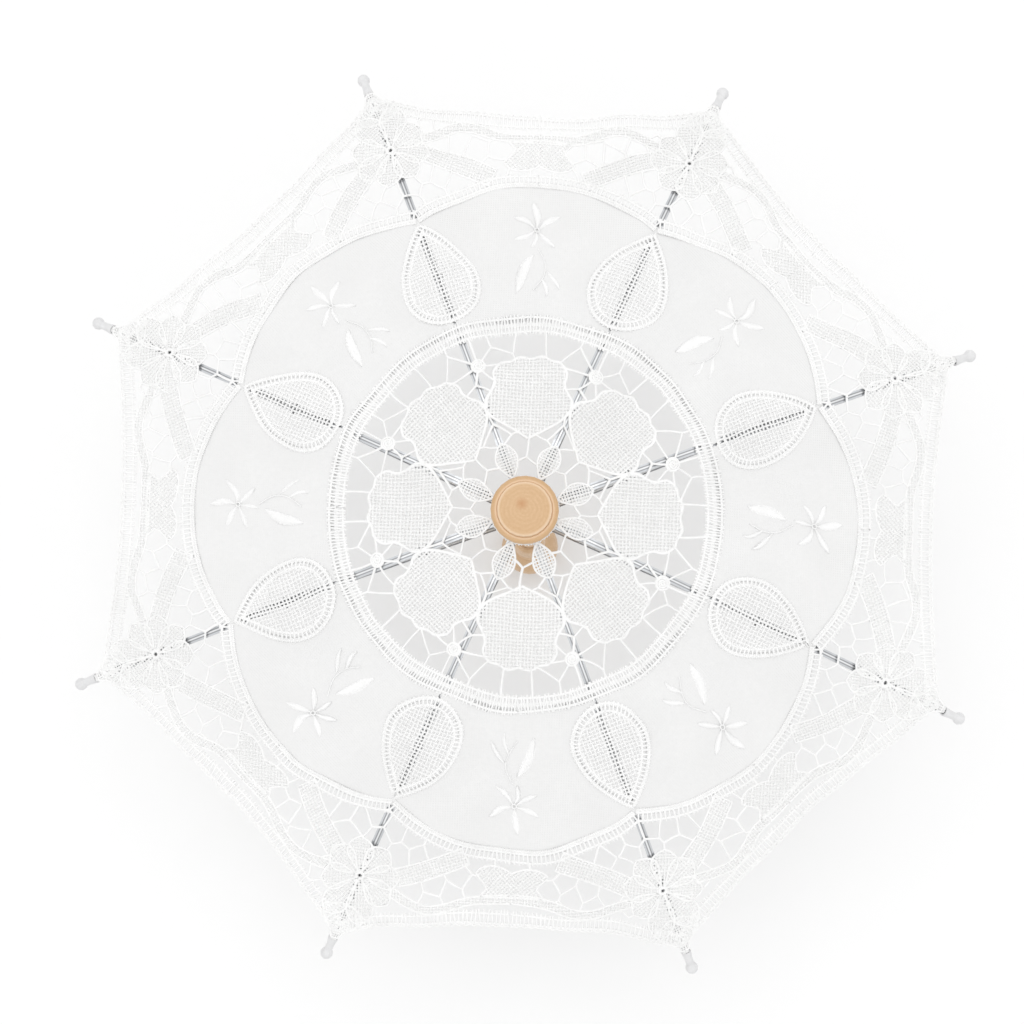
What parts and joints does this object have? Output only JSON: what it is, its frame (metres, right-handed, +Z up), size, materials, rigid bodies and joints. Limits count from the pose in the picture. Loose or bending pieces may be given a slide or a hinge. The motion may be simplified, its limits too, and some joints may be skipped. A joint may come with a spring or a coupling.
{
  "type": "lace parasol",
  "caption": "Small open parasol: tape-lace canopy over folding steel ribs and stretchers, sliding runner, spring catch, turned wooden cap, shaft and knob handle.",
  "frame": {"origin": "centre of the handle's flat end, on the shaft's axis", "axes": "+Z up the shaft from the handle to the cap; +X points at the middle of a gore, on the side of the spring catch; ribs lie 22.5 degrees to either side of it"},
  "size_m": [0.3748, 0.3748, 0.3185],
  "materials": {
    "lace": "white cotton tape lace and plain cotton, matte",
    "rib_steel": "plated steel strip, satin",
    "steel_wire": "plain drawn wire, satin",
    "tip_plastic": "milky translucent moulding, soft gloss",
    "moulded_plastic": "white moulding, satin",
    "cap_wood": "turned light maple, satin varnish",
    "handle_wood": "turned light maple, satin varnish",
    "shaft_wood": "light wooden dowel, satin varnish"
  },
  "bodies": {
    "frame": {"shaft": "shaft_wood", "handle": "handle_wood", "cap": "cap_wood", "notch": "moulded_plastic", "notch_wire": "steel_wire", "catch_pin": "steel_wire", "runner_stop_pin": "steel_wire"},
    "catch_lever": {"spring_catch": "steel_wire"},
    "rib_arm_1": {"rib_1": "rib_steel", "rib_tip_1": "tip_plastic", "joint_rivet_1": "steel_wire"},
    "rib_arm_2": {"rib_2": "rib_steel", "rib_tip_2": "tip_plastic", "joint_rivet_2": "steel_wire"},
    "rib_arm_3": {"rib_3": "rib_steel", "rib_tip_3": "tip_plastic", "joint_rivet_3": "steel_wire"},
    "rib_arm_4": {"rib_4": "rib_steel", "rib_tip_4": "tip_plastic", "joint_rivet_4": "steel_wire"},
    "rib_arm_5": {"rib_5": "rib_steel", "rib_tip_5": "tip_plastic", "joint_rivet_5": "steel_wire"},
    "rib_arm_6": {"rib_6": "rib_steel", "rib_tip_6": "tip_plastic", "joint_rivet_6": "steel_wire"},
    "rib_arm_7": {"rib_7": "rib_steel", "rib_tip_7": "tip_plastic", "joint_rivet_7": "steel_wire"},
    "rib_arm_8": {"rib_8": "rib_steel", "rib_tip_8": "tip_plastic", "joint_rivet_8": "steel_wire"},
    "stretcher_arm_1": {"stretcher_1": "rib_steel"},
    "stretcher_arm_2": {"stretcher_2": "rib_steel"},
    "stretcher_arm_3": {"stretcher_3": "rib_steel"},
    "stretcher_arm_4": {"stretcher_4": "rib_steel"},
    "stretcher_arm_5": {"stretcher_5": "rib_steel"},
    "stretcher_arm_6": {"stretcher_6": "rib_steel"},
    "stretcher_arm_7": {"stretcher_7": "rib_steel"},
    "stretcher_arm_8": {"stretcher_8": "rib_steel"},
    "runner_slide": {"runner": "moulded_plastic", "runner_wire": "steel_wire"},
    "canopy_flap_1a": {"canopy_panel_1a": "lace"},
    "canopy_flap_1b": {"canopy_panel_1b": "lace"},
    "canopy_flap_2a": {"canopy_panel_2a": "lace"},
    "canopy_flap_2b": {"canopy_panel_2b": "lace"},
    "canopy_flap_3a": {"canopy_panel_3a": "lace"},
    "canopy_flap_3b": {"canopy_panel_3b": "lace"},
    "canopy_flap_4a": {"canopy_panel_4a": "lace"},
    "canopy_flap_4b": {"canopy_panel_4b": "lace"},
    "canopy_flap_5a": {"canopy_panel_5a": "lace"},
    "canopy_flap_5b": {"canopy_panel_5b": "lace"},
    "canopy_flap_6a": {"canopy_panel_6a": "lace"},
    "canopy_flap_6b": {"canopy_panel_6b": "lace"},
    "canopy_flap_7a": {"canopy_panel_7a": "lace"},
    "canopy_flap_7b": {"canopy_panel_7b": "lace"},
    "canopy_flap_8a": {"canopy_panel_8a": "lace"},
    "canopy_flap_8b": {"canopy_panel_8b": "lace"}
  },
  "joints": [
    {"name": "rib_1_fold", "type": "hinge", "parent": "frame", "child": "rib_arm_1", "pos_m": [0.00693, 0.00287, 0.305], "axis": [-0.3827, 0.9239, 0], "range_deg": [0, 69], "deforming": ["spring_catch"]},
    {"name": "rib_2_fold", "type": "hinge", "parent": "frame", "child": "rib_arm_2", "pos_m": [0.00287, 0.00693, 0.305], "axis": [-0.9239, 0.3827, 0], "range_deg": [0, 69]},
    {"name": "rib_3_fold", "type": "hinge", "parent": "frame", "child": "rib_arm_3", "pos_m": [-0.00287, 0.00693, 0.305], "axis": [-0.9239, -0.3827, 0], "range_deg": [0, 69]},
    {"name": "rib_4_fold", "type": "hinge", "parent": "frame", "child": "rib_arm_4", "pos_m": [-0.00693, 0.00287, 0.305], "axis": [-0.3827, -0.9239, 0], "range_deg": [0, 69]},
    {"name": "rib_5_fold", "type": "hinge", "parent": "frame", "child": "rib_arm_5", "pos_m": [-0.00693, -0.00287, 0.305], "axis": [0.3827, -0.9239, 0], "range_deg": [0, 69]},
    {"name": "rib_6_fold", "type": "hinge", "parent": "frame", "child": "rib_arm_6", "pos_m": [-0.00287, -0.00693, 0.305], "axis": [0.9239, -0.3827, 0], "range_deg": [0, 69]},
    {"name": "rib_7_fold", "type": "hinge", "parent": "frame", "child": "rib_arm_7", "pos_m": [0.00287, -0.00693, 0.305], "axis": [0.9239, 0.3827, 0], "range_deg": [0, 69]},
    {"name": "rib_8_fold", "type": "hinge", "parent": "frame", "child": "rib_arm_8", "pos_m": [0.00693, -0.00287, 0.305], "axis": [0.3827, 0.9239, 0], "range_deg": [0, 69]},
    {"name": "stretcher_1_fold", "type": "hinge", "parent": "rib_arm_1", "child": "stretcher_arm_1", "pos_m": [0.09608, 0.0398, 0.28131], "axis": [-0.3827, 0.9239, 0], "range_deg": [-138, 0]},
    {"name": "stretcher_2_fold", "type": "hinge", "parent": "rib_arm_2", "child": "stretcher_arm_2", "pos_m": [0.0398, 0.09608, 0.28131], "axis": [-0.9239, 0.3827, 0], "range_deg": [-138, 0]},
    {"name": "stretcher_3_fold", "type": "hinge", "parent": "rib_arm_3", "child": "stretcher_arm_3", "pos_m": [-0.0398, 0.09608, 0.28131], "axis": [-0.9239, -0.3827, 0], "range_deg": [-138, 0]},
    {"name": "stretcher_4_fold", "type": "hinge", "parent": "rib_arm_4", "child": "stretcher_arm_4", "pos_m": [-0.09608, 0.0398, 0.28131], "axis": [-0.3827, -0.9239, 0], "range_deg": [-138, 0]},
    {"name": "stretcher_5_fold", "type": "hinge", "parent": "rib_arm_5", "child": "stretcher_arm_5", "pos_m": [-0.09608, -0.0398, 0.28131], "axis": [0.3827, -0.9239, 0], "range_deg": [-138, 0]},
    {"name": "stretcher_6_fold", "type": "hinge", "parent": "rib_arm_6", "child": "stretcher_arm_6", "pos_m": [-0.0398, -0.09608, 0.28131], "axis": [0.9239, -0.3827, 0], "range_deg": [-138, 0]},
    {"name": "stretcher_7_fold", "type": "hinge", "parent": "rib_arm_7", "child": "stretcher_arm_7", "pos_m": [0.0398, -0.09608, 0.28131], "axis": [0.9239, 0.3827, 0], "range_deg": [-138, 0]},
    {"name": "stretcher_8_fold", "type": "hinge", "parent": "rib_arm_8", "child": "stretcher_arm_8", "pos_m": [0.09608, -0.0398, 0.28131], "axis": [0.3827, 0.9239, 0], "range_deg": [-138, 0]},
    {"name": "runner_travel", "type": "hinge", "parent": "stretcher_arm_1", "child": "runner_slide", "pos_m": [0.00693, 0.00287, 0.25761], "axis": [-0.3827, 0.9239, 0], "range_deg": [0, 69]},
    {"name": "canopy_1a_pleat", "type": "hinge", "parent": "rib_arm_1", "child": "canopy_flap_1a", "pos_m": [0.00963, 0.00399, 0.31393], "axis": [-0.8742, -0.3621, 0.3235], "range_deg": [0, 69], "deforming": ["canopy_panel_1a"]},
    {"name": "canopy_1b_pleat", "type": "hinge", "parent": "rib_arm_1", "child": "canopy_flap_1b", "pos_m": [0.00963, 0.00399, 0.31393], "axis": [0.8742, 0.3621, -0.3235], "range_deg": [0, 69], "deforming": ["canopy_panel_1b"]},
    {"name": "canopy_2a_pleat", "type": "hinge", "parent": "rib_arm_2", "child": "canopy_flap_2a", "pos_m": [0.00399, 0.00963, 0.31393], "axis": [-0.3621, -0.8742, 0.3235], "range_deg": [0, 69], "deforming": ["canopy_panel_2a"]},
    {"name": "canopy_2b_pleat", "type": "hinge", "parent": "rib_arm_2", "child": "canopy_flap_2b", "pos_m": [0.00399, 0.00963, 0.31393], "axis": [0.3621, 0.8742, -0.3235], "range_deg": [0, 69], "deforming": ["canopy_panel_2b"]},
    {"name": "canopy_3a_pleat", "type": "hinge", "parent": "rib_arm_3", "child": "canopy_flap_3a", "pos_m": [-0.00399, 0.00963, 0.31393], "axis": [0.3621, -0.8742, 0.3235], "range_deg": [0, 69], "deforming": ["canopy_panel_3a"]},
    {"name": "canopy_3b_pleat", "type": "hinge", "parent": "rib_arm_3", "child": "canopy_flap_3b", "pos_m": [-0.00399, 0.00963, 0.31393], "axis": [-0.3621, 0.8742, -0.3235], "range_deg": [0, 69], "deforming": ["canopy_panel_3b"]},
    {"name": "canopy_4a_pleat", "type": "hinge", "parent": "rib_arm_4", "child": "canopy_flap_4a", "pos_m": [-0.00963, 0.00399, 0.31393], "axis": [0.8742, -0.3621, 0.3235], "range_deg": [0, 69], "deforming": ["canopy_panel_4a"]},
    {"name": "canopy_4b_pleat", "type": "hinge", "parent": "rib_arm_4", "child": "canopy_flap_4b", "pos_m": [-0.00963, 0.00399, 0.31393], "axis": [-0.8742, 0.3621, -0.3235], "range_deg": [0, 69], "deforming": ["canopy_panel_4b"]},
    {"name": "canopy_5a_pleat", "type": "hinge", "parent": "rib_arm_5", "child": "canopy_flap_5a", "pos_m": [-0.00963, -0.00399, 0.31393], "axis": [0.8742, 0.3621, 0.3235], "range_deg": [0, 69], "deforming": ["canopy_panel_5a"]},
    {"name": "canopy_5b_pleat", "type": "hinge", "parent": "rib_arm_5", "child": "canopy_flap_5b", "pos_m": [-0.00963, -0.00399, 0.31393], "axis": [-0.8742, -0.3621, -0.3235], "range_deg": [0, 69], "deforming": ["canopy_panel_5b"]},
    {"name": "canopy_6a_pleat", "type": "hinge", "parent": "rib_arm_6", "child": "canopy_flap_6a", "pos_m": [-0.00399, -0.00963, 0.31393], "axis": [0.3621, 0.8742, 0.3235], "range_deg": [0, 69], "deforming": ["canopy_panel_6a"]},
    {"name": "canopy_6b_pleat", "type": "hinge", "parent": "rib_arm_6", "child": "canopy_flap_6b", "pos_m": [-0.00399, -0.00963, 0.31393], "axis": [-0.3621, -0.8742, -0.3235], "range_deg": [0, 69], "deforming": ["canopy_panel_6b"]},
    {"name": "canopy_7a_pleat", "type": "hinge", "parent": "rib_arm_7", "child": "canopy_flap_7a", "pos_m": [0.00399, -0.00963, 0.31393], "axis": [-0.3621, 0.8742, 0.3235], "range_deg": [0, 69], "deforming": ["canopy_panel_7a"]},
    {"name": "canopy_7b_pleat", "type": "hinge", "parent": "rib_arm_7", "child": "canopy_flap_7b", "pos_m": [0.00399, -0.00963, 0.31393], "axis": [0.3621, -0.8742, -0.3235], "range_deg": [0, 69], "deforming": ["canopy_panel_7b"]},
    {"name": "canopy_8a_pleat", "type": "hinge", "parent": "rib_arm_8", "child": "canopy_flap_8a", "pos_m": [0.00963, -0.00399, 0.31393], "axis": [-0.8742, 0.3621, 0.3235], "range_deg": [0, 69], "deforming": ["canopy_panel_8a"]},
    {"name": "canopy_8b_pleat", "type": "hinge", "parent": "rib_arm_8", "child": "canopy_flap_8b", "pos_m": [0.00963, -0.00399, 0.31393], "axis": [0.8742, -0.3621, -0.3235], "range_deg": [0, 69], "deforming": ["canopy_panel_8b"]},
    {"name": "catch_press", "type": "hinge", "parent": "frame", "child": "catch_lever", "pos_m": [0, 0, 0.21101], "axis": [0, -1, 0], "range_deg": [0, 8], "stiffness_Nm_per_rad": 0.01}
  ],
  "couplings": [
    {"joint": "rib_2_fold", "follows": "rib_1_fold", "ratio": 1},
    {"joint": "rib_3_fold", "follows": "rib_1_fold", "ratio": 1},
    {"joint": "rib_4_fold", "follows": "rib_1_fold", "ratio": 1},
    {"joint": "rib_5_fold", "follows": "rib_1_fold", "ratio": 1},
    {"joint": "rib_6_fold", "follows": "rib_1_fold", "ratio": 1},
    {"joint": "rib_7_fold", "follows": "rib_1_fold", "ratio": 1},
    {"joint": "rib_8_fold", "follows": "rib_1_fold", "ratio": 1},
    {"joint": "stretcher_1_fold", "follows": "rib_1_fold", "ratio": -2},
    {"joint": "stretcher_2_fold", "follows": "rib_1_fold", "ratio": -2},
    {"joint": "stretcher_3_fold", "follows": "rib_1_fold", "ratio": -2},
    {"joint": "stretcher_4_fold", "follows": "rib_1_fold", "ratio": -2},
    {"joint": "stretcher_5_fold", "follows": "rib_1_fold", "ratio": -2},
    {"joint": "stretcher_6_fold", "follows": "rib_1_fold", "ratio": -2},
    {"joint": "stretcher_7_fold", "follows": "rib_1_fold", "ratio": -2},
    {"joint": "stretcher_8_fold", "follows": "rib_1_fold", "ratio": -2},
    {"joint": "runner_travel", "follows": "rib_1_fold", "ratio": 1},
    {"joint": "canopy_1a_pleat", "follows": "rib_1_fold", "ratio": 1},
    {"joint": "canopy_1b_pleat", "follows": "rib_1_fold", "ratio": 1},
    {"joint": "canopy_2a_pleat", "follows": "rib_1_fold", "ratio": 1},
    {"joint": "canopy_2b_pleat", "follows": "rib_1_fold", "ratio": 1},
    {"joint": "canopy_3a_pleat", "follows": "rib_1_fold", "ratio": 1},
    {"joint": "canopy_3b_pleat", "follows": "rib_1_fold", "ratio": 1},
    {"joint": "canopy_4a_pleat", "follows": "rib_1_fold", "ratio": 1},
    {"joint": "canopy_4b_pleat", "follows": "rib_1_fold", "ratio": 1},
    {"joint": "canopy_5a_pleat", "follows": "rib_1_fold", "ratio": 1},
    {"joint": "canopy_5b_pleat", "follows": "rib_1_fold", "ratio": 1},
    {"joint": "canopy_6a_pleat", "follows": "rib_1_fold", "ratio": 1},
    {"joint": "canopy_6b_pleat", "follows": "rib_1_fold", "ratio": 1},
    {"joint": "canopy_7a_pleat", "follows": "rib_1_fold", "ratio": 1},
    {"joint": "canopy_7b_pleat", "follows": "rib_1_fold", "ratio": 1},
    {"joint": "canopy_8a_pleat", "follows": "rib_1_fold", "ratio": 1},
    {"joint": "canopy_8b_pleat", "follows": "rib_1_fold", "ratio": 1}
  ]
}
